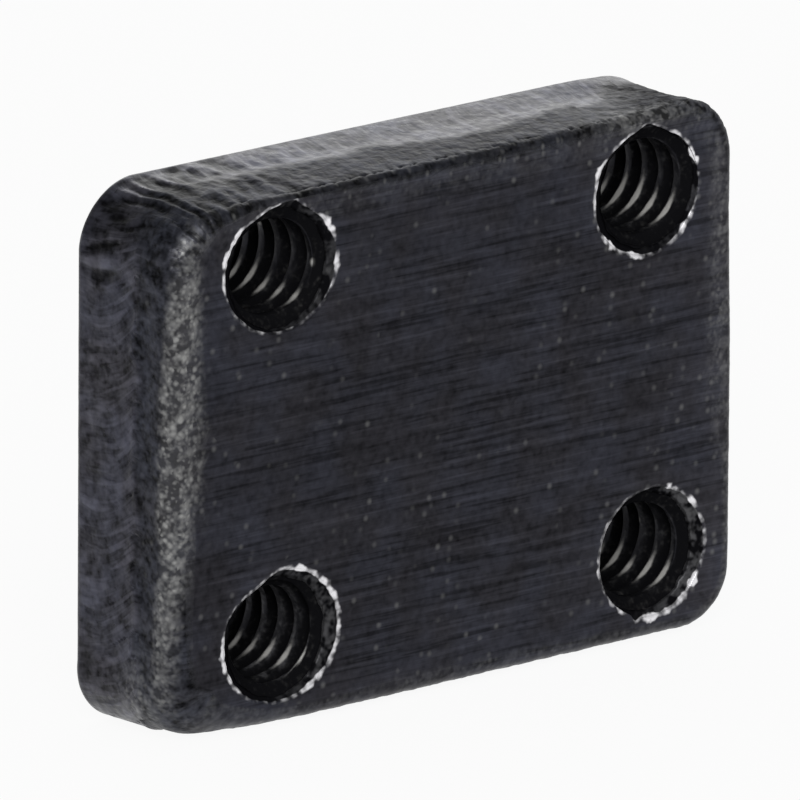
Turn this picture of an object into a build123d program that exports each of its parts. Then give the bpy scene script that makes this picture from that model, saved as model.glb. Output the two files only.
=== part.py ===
"""Machined mounting block: a thick blanked steel plate with four tapped through holes.

The block stands on its long bottom edge, as it would against the side of a frame.

Frame: +X along the width, +Y from the ground front face to the back face, +Z up.
The origin is the middle of the bounding box in plan, on the resting edge.
Lengths are in millimetres.
"""

import os

from build123d import *

# Plate
width = 38.1
height = 28.5
thickness = 7.5
corner_radius = 3.4

# Edges: the ground face has a tumbled round, the back face a smaller one
front_edge_radius = 1.0
back_edge_radius = 0.4

# Fracture line: a shallow band all round the cut walls, between the two shear lands
fracture_from_front = 2.2
fracture_width = 1.4
fracture_depth = 0.12

# Tapped holes, 1/4 inch with 20 threads to the inch, left at the tap-drill size
thread_major_diameter = 6.35
tap_drill_diameter = 5.1
countersink_clearance = 0.3
countersink_angle = 90

# Hole pattern: a rectangle, slightly off the middle of the plate
hole_spacing_x = 24.6
hole_spacing_z = 19.4
pattern_shift_x = 0.55
pattern_shift_z = 0.4

# Dependent sizes and planes
countersink_radius = thread_major_diameter / 2 + countersink_clearance
middle = (0, 0, height / 2)
front_plane = Plane(origin=middle, x_dir=(1, 0, 0), z_dir=(0, -1, 0)).offset(thickness / 2)
fracture_plane = front_plane.offset(-fracture_from_front)
pattern_middle = (pattern_shift_x, 0, height / 2 + pattern_shift_z)
front_mouths = Plane(origin=pattern_middle, x_dir=(1, 0, 0), z_dir=(0, -1, 0)).offset(thickness / 2)
back_mouths = Plane(origin=pattern_middle, x_dir=(1, 0, 0), z_dir=(0, 1, 0)).offset(thickness / 2)

with BuildPart() as mounting_block:
    # The blank: one rounded rectangle, cut from thick plate
    with BuildSketch(front_plane):
        RectangleRounded(width, height, corner_radius)
    extrude(amount=-thickness)

    # Tumbled edges, before the holes so that each countersink breaks into the round
    front_face = mounting_block.faces().sort_by(Axis.Y)[0]
    back_face = mounting_block.faces().sort_by(Axis.Y)[-1]
    fillet(front_face.edges(), radius=front_edge_radius)
    fillet(back_face.edges(), radius=back_edge_radius)

    # Fracture line round the walls
    with BuildSketch(fracture_plane):
        RectangleRounded(width, height, corner_radius)
        RectangleRounded(
            width - 2 * fracture_depth,
            height - 2 * fracture_depth,
            corner_radius - fracture_depth,
            mode=Mode.SUBTRACT,
        )
    extrude(amount=-fracture_width, mode=Mode.SUBTRACT)

    # Tapped through holes, countersunk lightly from each face
    for mouths in (front_mouths, back_mouths):
        with Locations(mouths):
            with GridLocations(hole_spacing_x, hole_spacing_z, 2, 2):
                CounterSinkHole(
                    radius=tap_drill_diameter / 2,
                    counter_sink_radius=countersink_radius,
                    depth=thickness,
                    counter_sink_angle=countersink_angle,
                )

mounting_block.part.label = "mounting_block"

os.makedirs("parts", exist_ok=True)
export_step(mounting_block.part, "parts/mounting_block.step")
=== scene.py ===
"""A machined mounting block: a blanked steel plate with four tapped holes, black oxide all over.

Lengths are millimetres until a mesh is made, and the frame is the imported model's: X to the right, Y from the
front face to the back face, Z up from the floor.
"""

import logging
import math
from dataclasses import dataclass, field
from enum import Enum, IntEnum
from itertools import product
from typing import Any, Mapping

import bpy
import numpy as np
from mathutils import Matrix, Vector
from numpy.typing import NDArray


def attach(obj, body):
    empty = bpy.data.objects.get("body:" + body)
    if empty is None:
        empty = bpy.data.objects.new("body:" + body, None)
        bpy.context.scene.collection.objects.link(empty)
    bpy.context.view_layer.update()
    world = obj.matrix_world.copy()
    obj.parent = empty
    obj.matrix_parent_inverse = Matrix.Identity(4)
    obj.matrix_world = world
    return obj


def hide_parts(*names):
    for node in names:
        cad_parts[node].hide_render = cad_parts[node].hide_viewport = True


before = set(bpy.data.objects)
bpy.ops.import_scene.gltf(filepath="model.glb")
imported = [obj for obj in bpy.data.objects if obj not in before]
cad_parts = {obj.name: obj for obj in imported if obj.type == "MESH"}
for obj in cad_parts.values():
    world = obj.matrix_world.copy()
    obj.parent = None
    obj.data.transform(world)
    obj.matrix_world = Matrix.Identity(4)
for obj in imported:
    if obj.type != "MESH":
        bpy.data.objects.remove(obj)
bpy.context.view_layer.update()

Array = NDArray[np.float64]
Point = tuple[float, float]
Colour = tuple[float, float, float, float]
Socket = bpy.types.NodeSocket

METRES = 0.001
CAD_NODE = "mounting_block"
BODY = "root"
WHITE = (1.0, 1.0, 1.0, 1.0)
CUBE_SHIFT = 0.2718281
LAYER_SHIFT = 17.3
THROAT_RADIUS = 3.2
THROAT_DEPTH = 0.27
FAR_FROM_RIM = -5.0

PLATE_FACTS = {
    "land": "1 on the polished shear land",
    "torn": "1 on the torn band",
    "face": "1 on the ground faces",
    "edge": "share of worn grains along the edges",
    "wear": "wear in general, which brings specks and lightens the faces",
    "rim": "millimetres inside a hole's rim, below zero outside it",
    # The rim's brightness is partly bare steel and partly painted highlight.
    "gain": "how bright the nearest hole's rim is worn",
    # The grey of a countersink is partly scraped and partly painted highlight.
    "scraped_and_lit": "how grey a countersink is scraped",
    "sweep": "place along the strokes of the walls, in millimetres",
    "back": "distance from the back face, in millimetres",
    "lines": "1 where strokes show, 0 where the outline starts and ends",
    # The finish paints these folds and pits darker, as shade.
    "rumple": "folds and pits near the battered corners",
    "damage": "the battered upper right corner",
    # The seam is painted dark, as the shadow under the top edge.
    "seam": "the dark toothed seam along the top edge",
    "drips": "light flecks just under the top edge",
}

log = logging.getLogger("mounting_block")


# ----- Numbers over a surface -----


def unit(value: Array) -> Array:
    """Keep numbers between 0 and 1."""
    return np.clip(value, 0.0, 1.0)


def joined(*parts: float | Array) -> Array:
    """Put coordinates together on a new last axis, each spread to the shape of the largest."""
    return np.stack(np.broadcast_arrays(*parts), axis=-1)


def turned_from(clock: Array, middle: float | Array) -> Array:
    """Return the angle from a middle to each clock angle, from -pi to pi."""
    return np.angle(np.exp(1j * (clock - middle)))


def unit_vectors(clock: Array) -> Array:
    """Return the unit vector at each angle, in radians."""
    return joined(np.cos(clock), np.sin(clock))


def smooth_step(value: Array, low: float | Array, high: float | Array) -> Array:
    """Rise from 0 at low to 1 at high along 3t^2 - 2t^3, or fall where high is the lower.

    Args:
        value: where to read the step.
        low: where it is 0.
        high: where it is 1.

    Returns:
        The step's height, from 0 to 1.
    """
    share = unit((value - low) / (high - low))
    return share * share * (3.0 - 2.0 * share)


def bell(value: Array, middle: float | Array, width: float | Array) -> Array:
    """Return a bell curve, exp(-((value - middle) / width)^2)."""
    return np.exp(-(((value - middle) / width) ** 2))


def corner_number(cell: NDArray[np.int64], seed: int) -> Array:
    """Give each whole-number cell a fixed number from -1 to 1, by mixing its bits.

    Args:
        cell: whole numbers, with the coordinates on the last axis.
        seed: another seed gives other numbers.

    Returns:
        One number for each cell.
    """
    primes = np.array([73856093, 19349663, 83492791], dtype=np.uint64)[: cell.shape[-1]]
    mixed = np.bitwise_xor.reduce(cell.astype(np.uint64) * primes, axis=-1)
    mixed = mixed + np.uint64(seed * 2654435761)
    for shift, prime in ((15, 2246822519), (13, 3266489917), (16, 668265263)):
        mixed = (mixed ^ (mixed >> np.uint64(shift))) * np.uint64(prime)
        mixed = mixed & np.uint64(0xFFFFFFFF)
    return mixed.astype(np.float64) / 2147483647.5 - 1.0


def grain(places: Array, seed: int) -> Array:
    """Smooth random heights: a number on each corner of a lattice, blended between them by 3t^2 - 2t^3.

    Args:
        places: coordinates in lattice units, on the last axis.
        seed: another seed gives another grain.

    Returns:
        Heights from -1 to 1.
    """
    lowest = np.floor(places)
    cell = lowest.astype(np.int64)
    share = places - lowest
    share = share * share * (3.0 - 2.0 * share)
    height = np.zeros(places.shape[:-1])
    for corner in product((0, 1), repeat=places.shape[-1]):
        step = np.array(corner)
        weight = np.prod(np.where(step == 1, share, 1.0 - share), axis=-1)
        height += weight * corner_number(cell + step, seed)
    return height


def layered_grain(places: Array, seed: int, layers: int = 3) -> Array:
    """Add finer grains to a coarse one, each twice as fine and half as high, scaled back to -1 to 1."""
    total = 0.0
    for layer in range(layers):
        total = total + grain(places * 2.0**layer + LAYER_SHIFT * layer, seed + layer) / 2.0**layer
    return total / (2.0 - 2.0 ** (1 - layers))


def grain_over(seed: int, layers: int, *parts: float | Array) -> Array:
    """Read layered grain at coordinates given one by one."""
    return layered_grain(joined(*parts), seed, layers)


class Seed(IntEnum):
    """The random heights of the plate's marks, by the number that picks each."""

    STROKES = 3
    LOBES = 21
    LIP = 31
    LIP_SWELL = 33
    LINES = 41
    CREASES = 43
    FOLDS = 45
    FOLD_RIDGES = 47
    LAND_SWELL = 49
    ROUGH = 51
    RAGGED = 61
    TEETH = 71
    BUMPS = 81
    SEAM = 83
    GRINDING = 91
    THROAT = 97


@dataclass(frozen=True)
class Lobes:
    """A row of uneven lobes along a line: unit cells whose borders are shifted by a fixed random amount.

    Attributes:
        pitch: mean width of a lobe.
        unevenness: how far a border may move, as a share of half the pitch.
        seed: picks the row.
    """

    pitch: float
    unevenness: float
    seed: int

    def borders(self, cell: NDArray[np.int64]) -> Array:
        """Return where each cell starts, in pitches."""
        return cell + 0.5 * self.unevenness * corner_number(cell[..., None], self.seed)

    def read(self, along: Array) -> tuple[Array, Array, Array]:
        """Find the lobe at each place.

        Args:
            along: places on the line, in the pitch's unit.

        Returns:
            The distance to the nearest border, the place across the lobe from -1 to 1, and the lobe's own
            number.
        """
        place = along / self.pitch
        cell = np.floor(place).astype(np.int64)
        cell = cell - (place < self.borders(cell)) + (place >= self.borders(cell + 1))
        start, end = self.borders(cell), self.borders(cell + 1)
        across = 2.0 * (place - start) / (end - start) - 1.0
        distance = np.minimum(place - start, end - place) * self.pitch
        return distance, across, corner_number(cell[..., None], self.seed + 5)


# ----- Meshes -----


@dataclass
class Patch:
    """A grid of points, whose last column joins the first, with the facts that the finish reads there.

    Attributes:
        points: rows x columns x 3, in millimetres.
        facts: name of a fact to its rows x columns numbers.
        flipped: whether the faces point the other way.
    """

    points: Array
    facts: dict[str, Array]
    flipped: bool = False

    def faces(self, first: int) -> NDArray[np.int64]:
        """Join each point to the next in its row and to the row after.

        Args:
            first: number of the patch's first point in the mesh.

        Returns:
            Four point numbers for each face.
        """
        rows, columns = self.points.shape[:2]
        number = first + np.arange(rows * columns).reshape(rows, columns)
        right = np.roll(number, -1, axis=1)
        around = [number[:-1], right[:-1], right[1:], number[1:]]
        if self.flipped:
            around.reverse()
        return np.stack(around, axis=-1).reshape(-1, 4)


def placed(name: str, data: bpy.types.ID) -> bpy.types.Object:
    """Put a mesh, a lamp's data or a camera's data into the scene as an object."""
    made = bpy.data.objects.new(name, data)
    bpy.context.scene.collection.objects.link(made)
    return made


def welded_mesh(name: str, patches: list[Patch], weld: float) -> bpy.types.Object:
    """Put patches into one mesh and join the points that they share.

    Points that fall into the same cube of side `weld` become one, and faces that lose a corner become
    triangles. The cubes' walls are shifted, so that no round number lies on one.

    Args:
        name: the piece's name.
        patches: grids that meet at shared points.
        weld: side of the cube, in millimetres.

    Returns:
        The piece, in metres, with each fact as a point attribute.
    """
    starts = np.cumsum([0] + [patch.points.shape[0] * patch.points.shape[1] for patch in patches])
    points = np.concatenate([patch.points.reshape(-1, 3) for patch in patches])
    faces = np.concatenate([patch.faces(int(start)) for patch, start in zip(patches, starts)])
    cube = np.floor(points / weld + CUBE_SHIFT).astype(np.int64)
    _, first, merged = np.unique(cube, axis=0, return_index=True, return_inverse=True)
    faces = merged.reshape(-1)[faces]
    kept = faces != np.roll(faces, -1, axis=1)
    corners = kept.sum(axis=1)
    faces, kept, corners = faces[corners > 2], kept[corners > 2], corners[corners > 2]

    mesh = bpy.data.meshes.new(name)
    mesh.vertices.add(len(first))
    mesh.vertices.foreach_set("co", (points[first] * METRES).astype(np.float32).ravel())
    mesh.loops.add(int(corners.sum()))
    mesh.loops.foreach_set("vertex_index", faces[kept].astype(np.int32))
    mesh.polygons.add(len(faces))
    mesh.polygons.foreach_set("loop_start", (np.cumsum(corners) - corners).astype(np.int32))
    mesh.polygons.foreach_set("use_smooth", np.ones(len(faces), dtype=bool))
    mesh.update(calc_edges=True)
    for fact in patches[0].facts:
        values = np.concatenate([patch.facts[fact].reshape(-1) for patch in patches])[first]
        attribute = mesh.attributes.new(fact, "FLOAT", "POINT")
        attribute.data.foreach_set("value", values.astype(np.float32))
    mesh.validate()
    return placed(name, mesh)


# ----- Shader nodes -----


class Value:
    """A socket whose number takes part in Python expressions, each of which adds its Math node."""

    def __init__(self, recipe: "Recipe", socket: Socket) -> None:
        """Wrap a socket of a recipe's tree."""
        self.recipe = recipe
        self.socket = socket

    def __add__(self, other: "Term") -> "Value":
        """Return self + other."""
        return self.recipe.maths("ADD", self, other)

    __radd__ = __add__

    def __sub__(self, other: "Term") -> "Value":
        """Return self - other."""
        return self.recipe.maths("SUBTRACT", self, other)

    def __rsub__(self, other: "Term") -> "Value":
        """Return other - self."""
        return self.recipe.maths("SUBTRACT", other, self)

    def __mul__(self, other: "Term") -> "Value":
        """Return self * other."""
        return self.recipe.maths("MULTIPLY", self, other)

    __rmul__ = __mul__

    def __abs__(self) -> "Value":
        """Return the value without its sign."""
        return self.recipe.maths("ABSOLUTE", self)

Term = Value | float


class Recipe:
    """The node tree of one material or of the world."""

    def __init__(self, tree: bpy.types.NodeTree) -> None:
        """Start with an empty tree."""
        self.tree = tree
        tree.nodes.clear()

    def node(
        self,
        kind: str,
        settings: Mapping[str, Any] | None = None,
        sockets: Mapping[str | int, Any] | None = None,
    ) -> bpy.types.Node:
        """Add a node.

        Args:
            kind: Blender's name of the node's type.
            settings: the node's own settings, set before its sockets.
            sockets: values, or sockets to link from, by the input's name or number.

        Returns:
            The node.
        """
        made = self.tree.nodes.new(kind)
        for name, setting in (settings or {}).items():
            setattr(made, name, setting)
        for name, source in (sockets or {}).items():
            if isinstance(source, Value):
                source = source.socket
            if isinstance(source, Socket):
                self.tree.links.new(source, made.inputs[name])
            else:
                made.inputs[name].default_value = source
        return made

    def maths(self, operation: str, *terms: Term) -> Value:
        """Apply a Math node to values and numbers."""
        made = self.node("ShaderNodeMath", {"operation": operation}, dict(enumerate(terms)))
        return Value(self, made.outputs[0])

    def vectors(self, operation: str, *terms: Any) -> Socket:
        """Apply a Vector Math node to vectors or colours."""
        made = self.node("ShaderNodeVectorMath", {"operation": operation}, dict(enumerate(terms)))
        return made.outputs[0]

    def larger(self, first: Term, second: Term) -> Value:
        """Return the larger of two values."""
        return self.maths("MAXIMUM", first, second)

    def smaller(self, first: Term, second: Term) -> Value:
        """Return the smaller of two values."""
        return self.maths("MINIMUM", first, second)

    def fact(self, name: str) -> Value:
        """Read one of the mesh's point attributes."""
        return Value(self, self.node("ShaderNodeAttribute", {"attribute_name": name}).outputs["Fac"])

    def places(self, *fineness: float) -> Socket:
        """Return Object coordinates in metres, multiplied by one fineness or by one for each axis."""
        source = self.node("ShaderNodeTexCoord").outputs["Object"]
        return self.vectors("MULTIPLY", source, fineness if len(fineness) == 3 else fineness * 3)

    def joined(self, x: Value, y: Value) -> Socket:
        """Make a vector of two values and nothing."""
        return self.node("ShaderNodeCombineXYZ", {}, {0: x, 1: y}).outputs[0]

    def turned_places(self, scale: float) -> Socket:
        """Return Object coordinates turned askew, so that a noise's rows do not line up with the plate."""
        rows = {"Vector": self.places(scale), "Rotation": (0.6, 0.45, 0.8)}
        return self.node("ShaderNodeVectorRotate", {"rotation_type": "EULER_XYZ"}, rows).outputs[0]

    def noise(self, places: Socket, detail: float = 2.0, roughness: float = 0.5) -> Value:
        """Read a noise texture of scale 1, which runs from 0 to 1 about a middle of 0.5."""
        sockets = {"Vector": places, "Scale": 1.0, "Detail": detail, "Roughness": roughness}
        return Value(self, self.node("ShaderNodeTexNoise", {}, sockets).outputs[0])

    def spots(self, places: Socket, size: float) -> tuple[Value, Value]:
        """Scatter soft round spots, one in each cell of a Voronoi texture of scale 1.

        Args:
            places: the vector, in cells.
            size: radius of a spot, in cells.

        Returns:
            The spots' heights from 0 to 1, and the grey of each cell's random colour, mostly near 0.5.
        """
        cell = self.node("ShaderNodeTexVoronoi", {"feature": "F1"}, {"Vector": places, "Scale": 1.0})
        own = Value(self, cell.outputs["Color"]) * 1.0
        return self.step(Value(self, cell.outputs["Distance"]), size, 0.0), own

    def step(self, value: Value, low: float, high: float) -> Value:
        """Rise smoothly from 0 at low to 1 at high, or fall where high is the lower."""
        settings = {"interpolation_type": "SMOOTHSTEP"}
        if low < high:
            sockets = {"Value": value, "From Min": low, "From Max": high, "To Min": 0.0, "To Max": 1.0}
        else:
            sockets = {"Value": value, "From Min": high, "From Max": low, "To Min": 1.0, "To Max": 0.0}
        return Value(self, self.node("ShaderNodeMapRange", settings, sockets).outputs[0])

    def blended(self, factor: Term, low: Any, high: Any) -> Socket:
        """Mix two colours by a factor from 0 to 1."""
        return self.node("ShaderNodeMix", {"data_type": "RGBA"}, {0: factor, 6: low, 7: high}).outputs[2]

    def tinted(self, colour: Socket, share: Value) -> Socket:
        """Multiply a colour by a faint tint that turns from warm to cold as the share rises."""
        tint = self.blended(self.step(share, 0.3, 0.7), (1.03, 1.0, 0.95, 1.0), (0.97, 1.0, 1.04, 1.0))
        return self.vectors("MULTIPLY", colour, tint)

    def toned(self, colour: Socket, tone: Value) -> Socket:
        """Multiply a colour by a value that varies over the surface."""
        sockets = {0: colour, "Scale": tone}
        return self.node("ShaderNodeVectorMath", {"operation": "SCALE"}, sockets).outputs[0]

    def bumped(self, height: Value, depth: float, before: Socket | None = None) -> Socket:
        """Turn a height from 0 to 1 into a normal, `depth` metres from lowest to highest."""
        sockets = {"Height": height, "Distance": depth, "Strength": 1.0}
        if before is not None:
            sockets["Normal"] = before
        return self.node("ShaderNodeBump", {}, sockets).outputs["Normal"]

    def metal(self, colour: Socket, metallic: Value, roughness: Value, normal: Any) -> None:
        """End a material with a metal that turns dull, with no gloss, as Metallic falls to 0."""
        sockets = {"Base Color": colour, "Metallic": metallic, "Roughness": roughness, "Normal": normal}
        shader = self.node("ShaderNodeBsdfPrincipled", {}, sockets | {"Specular IOR Level": 0.0})
        self.node("ShaderNodeOutputMaterial", {}, {"Surface": shader.outputs[0]})


def new_material(name: str) -> tuple[bpy.types.Material, Recipe]:
    """Make a material with an empty node tree."""
    made = bpy.data.materials.new(name)
    made.use_nodes = True
    return made, Recipe(made.node_tree)


# ----- Finishes -----


class OxideMasks:
    """The masks of the plate's finish, from the facts of its mesh and from noises that are fixed to it."""

    def __init__(self, recipe: Recipe) -> None:
        """Read the facts, lay the shared noises, and work out the masks that are used more than once.

        Args:
            recipe: the material's tree.
        """
        self.recipe = recipe
        self.fact = {name: recipe.fact(name) for name in PLATE_FACTS}
        self.patchy = recipe.noise(recipe.places(330.0))
        self.coarse = recipe.noise(recipe.places(1300.0))
        self.dots = recipe.noise(recipe.turned_places(2500.0), 1.0)
        self.grains = recipe.noise(recipe.turned_places(4300.0), 1.0)
        self.mottle = (self.dots - 0.5) * 0.75 + (self.grains - 0.5) * 0.3
        self.long_lines = recipe.noise(recipe.places(170.0, 900.0, 3900.0), 2.0, 0.6)
        self.short_lines = recipe.noise(recipe.places(560.0, 900.0, 6400.0), 2.0, 0.6)
        sweep, back, lines = (self.fact[name] for name in ("sweep", "back", "lines"))
        broad = recipe.noise(recipe.joined(sweep * 1.5, back * 0.34))
        fine = recipe.noise(recipe.joined(sweep * 5.0, back * 0.9), 1.0, 0.6)
        self.strokes = (broad * 0.8 + fine * 0.2 - 0.5) * lines
        self.creases = recipe.step(abs(broad - 0.5), 0.10, 0.0) * lines
        self.cone = recipe.step(self.fact["rim"], -0.02, 0.05)
        self.deep = recipe.step(self.fact["rim"], 0.06, 0.32)
        # Grey on countersinks: scraped texture, and painted highlight on their right sides.
        self.scraped_and_lit = self.fact["scraped_and_lit"] * recipe.step(self.coarse * 0.6 + self.dots * 0.4, 0.43, 0.62)
        # Painted shadow: the seam's teeth under the top edge are darkened.
        toothed = self.fact["seam"] + (self.coarse - 0.5) * 2.2 + self.mottle * 0.8
        self.toothed = recipe.step(toothed, 0.55, 1.15)
        self.wearing = self.find_wearing()
        self.ring = self.find_ring()
        self.dull = self.find_dull()

    def find_wearing(self) -> Value:
        """Return how far the oxide is worn off, by grains at the edges, flecks at the top or lone specks."""
        recipe = self.recipe
        large, own = recipe.spots(recipe.turned_places(2800.0), 0.68)
        small, number = recipe.spots(recipe.turned_places(4400.0), 0.75)
        grit = 0.22 + large * (own * 1.3 - 0.33) + small * (number - 0.3) + self.mottle * 1.5
        grit = recipe.larger(grit + (self.coarse - 0.5) * 1.4, 0.10)
        grit = recipe.smaller(grit, 1.0) * self.fact["edge"]
        flecks, own = recipe.spots(recipe.places(2100.0, 1200.0, 1450.0), 0.42)
        flecks = flecks * recipe.step(own + self.mottle * 0.3, 0.44, 0.62) * self.fact["drips"] * 0.45
        specks, chance = recipe.spots(recipe.turned_places(1500.0), 0.38)
        specks = specks * recipe.step(chance + (self.fact["wear"] - 0.5) * 0.30, 0.50, 0.86) * 0.28
        return recipe.larger(recipe.larger(specks * (1.0 - self.fact["land"]), grit), flecks)

    def find_ring(self) -> Value:
        """Return the rim's ring of bare steel and painted highlight, broken into beads, broad where the gain
        is high.
        """
        recipe, rim, gain = self.recipe, self.fact["rim"], self.fact["gain"]
        beads = recipe.noise(recipe.places(1900.0), 1.0)
        width = gain * (beads * 2.3 - 0.8) * 0.27 + 0.05
        outer = recipe.step(rim + width, -0.12, 0.08)
        inner = recipe.step(rim - gain * (beads - 0.2) * 0.42, 0.10, 0.0)
        bright = gain * 0.8 + 0.2 + (beads - 0.5) * 2.3 + (self.grains - 0.5) * 0.5
        return outer * inner * recipe.step(bright, 0.1, 1.15)

    def find_dull(self) -> Value:
        """Return where the metal is dull: painted shade in countersinks and on the seam's teeth, and dull at
        the battered corner.
        """
        dull = self.cone * (1.0 - self.scraped_and_lit * 0.8) * (1.0 - self.ring)
        dull = self.recipe.larger(dull, self.toothed * 0.42)
        return self.recipe.larger(dull, self.fact["damage"] * 0.8 * (1.0 - self.wearing))

    def furrow(self) -> Value:
        """Return the dark grinding lines, long and short, and the pits in the folds painted dark as shade."""
        step = self.recipe.step
        line = step(self.long_lines, 0.47, 0.33) * step(self.patchy, 0.30, 0.52)
        line = line + step(self.short_lines, 0.45, 0.30) * 0.45
        line = self.recipe.smaller(line, 1.0) * self.fact["face"]
        # Painted shade in the pits of the folds.
        pits = step(self.fact["rumple"] + (self.coarse - 0.5) * 1.2, 0.35, 0.85)
        return self.recipe.larger(line * 0.46, pits * 0.8)

    def tone(self) -> Value:
        """Return the factor on the oxide's brightness, with terms for the faces and both wall bands."""
        blotches = self.coarse - 0.5
        streaks = self.long_lines - 0.5 + self.recipe.step(self.long_lines, 0.54, 0.72) * 0.3
        on_face = streaks + blotches * 0.6 + (self.fact["wear"] - 0.32) * 0.42 - self.mottle * 0.9
        on_land = self.strokes * 2.6 - self.creases * 0.34 + blotches * 1.7 - self.mottle * 0.9
        on_torn = self.strokes * 2.0 + blotches * 2.4 + self.mottle * 1.6
        # The folds are painted darker, as shade.
        tone = 1.0 + self.mottle * 2.4 + (self.patchy - 0.5) * 0.9 - self.fact["rumple"] * 0.8
        tone = tone + self.fact["face"] * on_face + self.fact["land"] * on_land + self.fact["torn"] * on_torn
        return self.recipe.larger(tone, 0.15)

    def normal(self) -> Socket:
        """Return the normal: lines on the faces, strokes on the walls, and grain where it is rough."""
        recipe, land, torn = self.recipe, self.fact["land"], self.fact["torn"]
        relief = recipe.bumped(self.long_lines * 0.5 + self.short_lines * 0.5, 0.00001)
        relief = recipe.bumped(self.strokes * (land + torn) * 0.8, 0.00008, relief)
        rough = torn + land * 0.4 + self.deep + self.fact["damage"]
        relief = recipe.bumped(self.coarse * rough, 0.00012, relief)
        grainy = recipe.smaller(self.fact["edge"] + torn * 0.6 + self.fact["wear"] * 0.3 + self.deep, 1.0)
        return recipe.bumped((self.dots * 0.7 + self.grains * 0.3) * grainy, 0.00005, relief)


@dataclass(frozen=True)
class BlackOxide:
    """Black oxide on steel, a very dark metal, worn bare and painted with rim highlights where the mesh's
    facts say so.

    Attributes:
        oxide: colour of the oxide on the ground faces.
        groove: colour of the dark grinding lines, and of the painted shade in pits, countersinks and the
            seam's teeth.
        land_oxide: colour on the polished shear land.
        torn_oxide: colour on the torn band.
        scraped_lit_cone: grey of countersinks where they are scraped and painted as lit.
        worn: colour of half-worn grains.
        bare_and_glint: colour of the rims' bare steel and painted highlights.
        face_roughness: roughness of the ground faces.
        land_roughness: roughness of the shear land.
        torn_roughness: roughness of the torn band.
        bare_roughness: roughness of the rims' bare steel and painted highlights.
    """

    oxide: Colour = (0.0275, 0.0275, 0.0345, 1.0)
    groove: Colour = (0.005, 0.005, 0.006, 1.0)
    land_oxide: Colour = (0.047, 0.047, 0.060, 1.0)
    torn_oxide: Colour = (0.030, 0.031, 0.039, 1.0)
    scraped_lit_cone: Colour = (0.100, 0.100, 0.103, 1.0)
    worn: Colour = (0.30, 0.30, 0.295, 1.0)
    bare_and_glint: Colour = (0.93, 0.92, 0.95, 1.0)
    face_roughness: float = 0.42
    land_roughness: float = 0.34
    torn_roughness: float = 0.5
    bare_roughness: float = 0.3

    def material(self) -> bpy.types.Material:
        """Build the plate's material, which reads every fact in PLATE_FACTS."""
        made, recipe = new_material("black_oxide_plate")
        masks = OxideMasks(recipe)
        land, torn = masks.fact["land"], masks.fact["torn"]
        colour = recipe.blended(land, self.oxide, self.land_oxide)
        colour = recipe.blended(torn, colour, self.torn_oxide)
        colour = recipe.blended(masks.furrow(), colour, self.groove)
        colour = recipe.toned(recipe.tinted(colour, masks.patchy), masks.tone())
        colour = recipe.blended(masks.wearing, colour, self.worn)
        # Painted shade: countersinks and the seam's teeth are darkened to the groove colour, with no gloss.
        colour = recipe.blended(recipe.larger(masks.cone, masks.toothed) * masks.dull, colour, self.groove)
        # Painted highlight: the scraped countersinks turn grey, most on their right sides.
        colour = recipe.blended(masks.cone * masks.scraped_and_lit * 0.7, colour, self.scraped_lit_cone)
        # Bare steel and painted highlight at the rims, near white.
        colour = recipe.blended(masks.ring, colour, self.bare_and_glint)
        roughness = self.face_roughness + land * (self.land_roughness - self.face_roughness)
        roughness = roughness + torn * (self.torn_roughness - self.face_roughness) + masks.mottle * 0.4
        roughness = roughness + masks.ring * (self.bare_roughness - roughness)
        metallic = (1.0 - masks.dull) * (1.0 - masks.ring * 0.6)
        recipe.metal(colour, metallic, roughness, masks.normal())
        return made


@dataclass(frozen=True)
class TappedSteel:
    """Oxide inside a tapped hole: smooth crests, and roots painted nearly black as shade.

    Attributes:
        crest_colour: colour of the crests.
        grime_and_light_colour: dull grey of the right flanks, which face the light: partly grime and partly
            painted light.
        highlight_colour: colour of the highlights painted on the crests.
        root_shade_colour: painted shade at the bottom of the groove, nearly black.
        roughness: roughness of the crests.
    """

    crest_colour: Colour = (0.023, 0.023, 0.028, 1.0)
    grime_and_light_colour: Colour = (0.085, 0.085, 0.092, 1.0)
    highlight_colour: Colour = (0.50, 0.49, 0.47, 1.0)
    root_shade_colour: Colour = (0.006, 0.006, 0.007, 1.0)
    roughness: float = 0.42

    def material(self) -> bpy.types.Material:
        """Build the threads' material, which reads three facts: the crests, the highlights painted on them,
        and the right flanks' grey.
        """
        made, recipe = new_material("tapped_steel")
        crest, crest_highlight, grimy_and_lit = (recipe.fact(name) for name in ("crest", "crest_highlight", "grimy_and_lit"))
        coarse = recipe.noise(recipe.places(1400.0)) - 0.5
        fine = recipe.noise(recipe.places(4200.0), 1.0) - 0.5
        shown = recipe.step(crest + coarse * 0.5, 0.15, 0.95)
        # Painted highlights on the crests, with chips of real wear added below.
        bright = recipe.step(crest_highlight + coarse * 0.3 + fine * 0.25, 0.0, 0.95)
        chips, chance = recipe.spots(recipe.places(950.0), 0.3)
        bright = recipe.larger(bright, chips * recipe.step(chance, 0.66, 0.74) * crest * 1.5)
        # Grey on the right flanks, which face the light: partly grime and partly painted light.
        dusty_and_lit = recipe.larger(grimy_and_lit * (0.45 + coarse * 1.3 + fine), 0.0)
        covered_and_lit = recipe.smaller(dusty_and_lit * 2.0, 1.0)
        # Painted shade: the roots, the crests low in the hole and the cone where the mouth cuts them away are
        # nearly black.
        colour = recipe.blended(shown, self.root_shade_colour, self.crest_colour)
        colour = recipe.blended(covered_and_lit, colour, recipe.blended(dusty_and_lit, self.root_shade_colour, self.grime_and_light_colour))
        colour = recipe.blended(bright, colour, self.highlight_colour)
        metallic = shown * (1.0 - bright * 0.7) * (1.0 - covered_and_lit)
        roughness = self.roughness + coarse * 0.25 + bright * 0.2
        recipe.metal(colour, metallic, roughness, recipe.bumped(coarse * 0.6 + fine * 0.4, 0.00004))
        return made


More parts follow.
